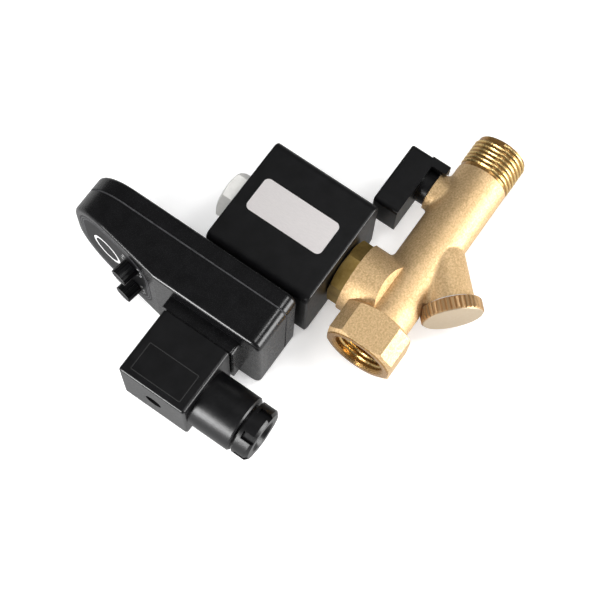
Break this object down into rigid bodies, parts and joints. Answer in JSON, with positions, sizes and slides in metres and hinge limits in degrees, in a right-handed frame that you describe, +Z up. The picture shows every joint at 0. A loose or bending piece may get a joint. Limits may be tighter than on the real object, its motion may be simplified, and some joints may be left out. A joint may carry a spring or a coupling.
{
  "type": "automatic drain valve",
  "caption": "Timer-controlled drain valve: brass body with ball valve and Y strainer, side solenoid with coil, timer housing and cable connector.",
  "frame": {"origin": "centre of the inlet thread's end face", "axes": "+X out of the inlet thread along the pipe, +Y out along the solenoid to the coil nut, +Z up through the coil's name plate"},
  "size_m": [0.151, 0.1403, 0.044],
  "materials": {
    "forged_brass": "blasted",
    "turned_brass": "machined",
    "knurled_brass": "knurled",
    "plated_ball": "polished",
    "ptfe": "smooth",
    "black_nylon": "satin",
    "zinc_steel": "plated",
    "stainless": "machined",
    "spring_steel": "drawn",
    "black_rubber": "matte",
    "coil_plastic": "fine grain",
    "timer_plastic": "satin",
    "connector_plastic": "satin",
    "knob_plastic": "satin",
    "pot_plastic": "smooth",
    "circuit_board": "smooth",
    "label_black": "printed film",
    "plate_silver": "satin",
    "nickel_nut": "nickel plated",
    "tinned_blade": "tinned",
    "gland_white": "smooth"
  },
  "bodies": {
    "valve": {"valve_body": "forged_brass", "inlet_ball_seat": "ptfe", "outlet_ball_seat": "ptfe", "ball_retainer": "turned_brass", "stem_seal": "ptfe", "stem_gland": "turned_brass", "strainer_screen": "stainless", "strainer_cap_seal": "ptfe", "strainer_cap": "knurled_brass", "bonnet": "turned_brass", "bonnet_o_ring": "black_rubber", "armature_tube": "stainless", "fixed_core": "stainless", "plunger_spring": "spring_steel", "coil_gasket": "black_rubber", "coil_housing": "coil_plastic", "coil_nameplate": "plate_silver", "coil_washer": "zinc_steel", "coil_nut": "nickel_nut", "coil_terminals": "tinned_blade", "timer_gasket": "black_rubber", "timer_rear_cover": "timer_plastic", "timer_front_housing": "timer_plastic", "panel_label": "label_black", "potentiometers": "pot_plastic", "timer_board": "circuit_board", "timer_terminals": "tinned_blade", "connector_gasket": "black_rubber", "connector_housing": "connector_plastic", "connector_insert": "connector_plastic", "connector_screw": "zinc_steel", "gland_nut": "connector_plastic", "gland_washer": "gland_white", "gland_seal": "black_rubber"},
    "handle": {"valve_ball": "plated_ball", "valve_stem": "turned_brass", "valve_handle": "black_nylon", "handle_screw": "zinc_steel"},
    "plunger_unit": {"plunger": "stainless", "plunger_seal": "black_rubber"},
    "interval": {"interval_knob": "knob_plastic"},
    "discharge": {"discharge_knob": "knob_plastic"}
  },
  "joints": [
    {"name": "handle_turn", "type": "hinge", "parent": "valve", "child": "handle", "pos_m": [-0.0274, 0.02, 0], "axis": [0, 1, 0], "range_deg": [0, 90]},
    {"name": "plunger_lift", "type": "slide", "parent": "valve", "child": "plunger_unit", "axis": [0, 1, 0], "range_m": [0, 0.002], "stiffness_N_per_m": 500, "springref_m": -0.004, "deforming": ["plunger_spring"]},
    {"name": "interval_turn", "type": "hinge", "parent": "valve", "child": "interval", "pos_m": [-0.11755, 0.08232, -0.009], "axis": [-0.9851, 0.1719, 0], "range_deg": [-135, 135]},
    {"name": "discharge_turn", "type": "hinge", "parent": "valve", "child": "discharge", "pos_m": [-0.11755, 0.08232, 0.009], "axis": [-0.9851, 0.1719, 0], "range_deg": [-135, 135]}
  ]
}
